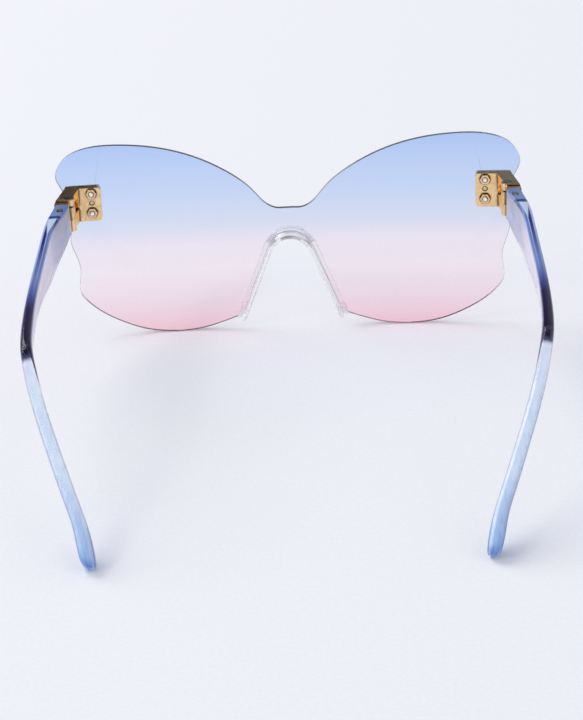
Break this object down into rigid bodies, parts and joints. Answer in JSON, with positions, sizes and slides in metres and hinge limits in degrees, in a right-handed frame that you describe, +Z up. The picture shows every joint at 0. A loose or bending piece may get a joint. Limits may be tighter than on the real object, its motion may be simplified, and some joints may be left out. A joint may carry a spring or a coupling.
{
  "type": "butterfly sunglasses",
  "caption": "Rimless butterfly sunglasses: a one-piece curved gradient lens with a clear nose saddle and two folding moulded temples on gold hinge brackets.",
  "frame": {"origin": "on the table, under the middle of the whole outline, with the glasses standing on the two lower wings of the lens and on the temple tips", "axes": "+Z up, the front of the lens faces -Y, the temples run to +Y, +X is the wearer's left"},
  "size_m": [0.1508, 0.1522, 0.0627],
  "materials": {
    "lens_tint": "polished polycarbonate, blue at the brow fading to pink at the foot",
    "clear_silicone": "clear moulded, glossy",
    "clear_nylon": "clear, smooth",
    "gold_plate": "polished pale gold plating",
    "screw_steel": "bright plated steel",
    "temple_plastic": "polished translucent blue, darkest near the hinge, clear towards the tip"
  },
  "bodies": {
    "front": {"bracket_left": "gold_plate", "bracket_right": "gold_plate", "gasket_left": "clear_nylon", "gasket_right": "clear_nylon", "hinge_screw_left": "screw_steel", "hinge_screw_right": "screw_steel", "lens_screw_lower_left": "screw_steel", "lens_screw_lower_right": "screw_steel", "lens_screw_upper_left": "screw_steel", "lens_screw_upper_right": "screw_steel", "nose_saddle": "clear_silicone", "nut_lower_left": "gold_plate", "nut_lower_right": "gold_plate", "nut_upper_left": "gold_plate", "nut_upper_right": "gold_plate", "shield_lens": "lens_tint", "washer_lower_left": "clear_nylon", "washer_lower_right": "clear_nylon", "washer_upper_left": "clear_nylon", "washer_upper_right": "clear_nylon"},
    "left_arm": {"temple_left": "temple_plastic", "hinge_leaf_left": "gold_plate"},
    "right_arm": {"temple_right": "temple_plastic", "hinge_leaf_right": "gold_plate"}
  },
  "joints": [
    {"name": "temple_left_fold", "type": "hinge", "parent": "front", "child": "left_arm", "pos_m": [0.0691, -0.06058, 0.0461], "axis": [0, 0, 1], "range_deg": [0, 84]},
    {"name": "temple_right_fold", "type": "hinge", "parent": "front", "child": "right_arm", "pos_m": [-0.0691, -0.06058, 0.0461], "axis": [0, 0, -1], "range_deg": [0, 76]}
  ]
}
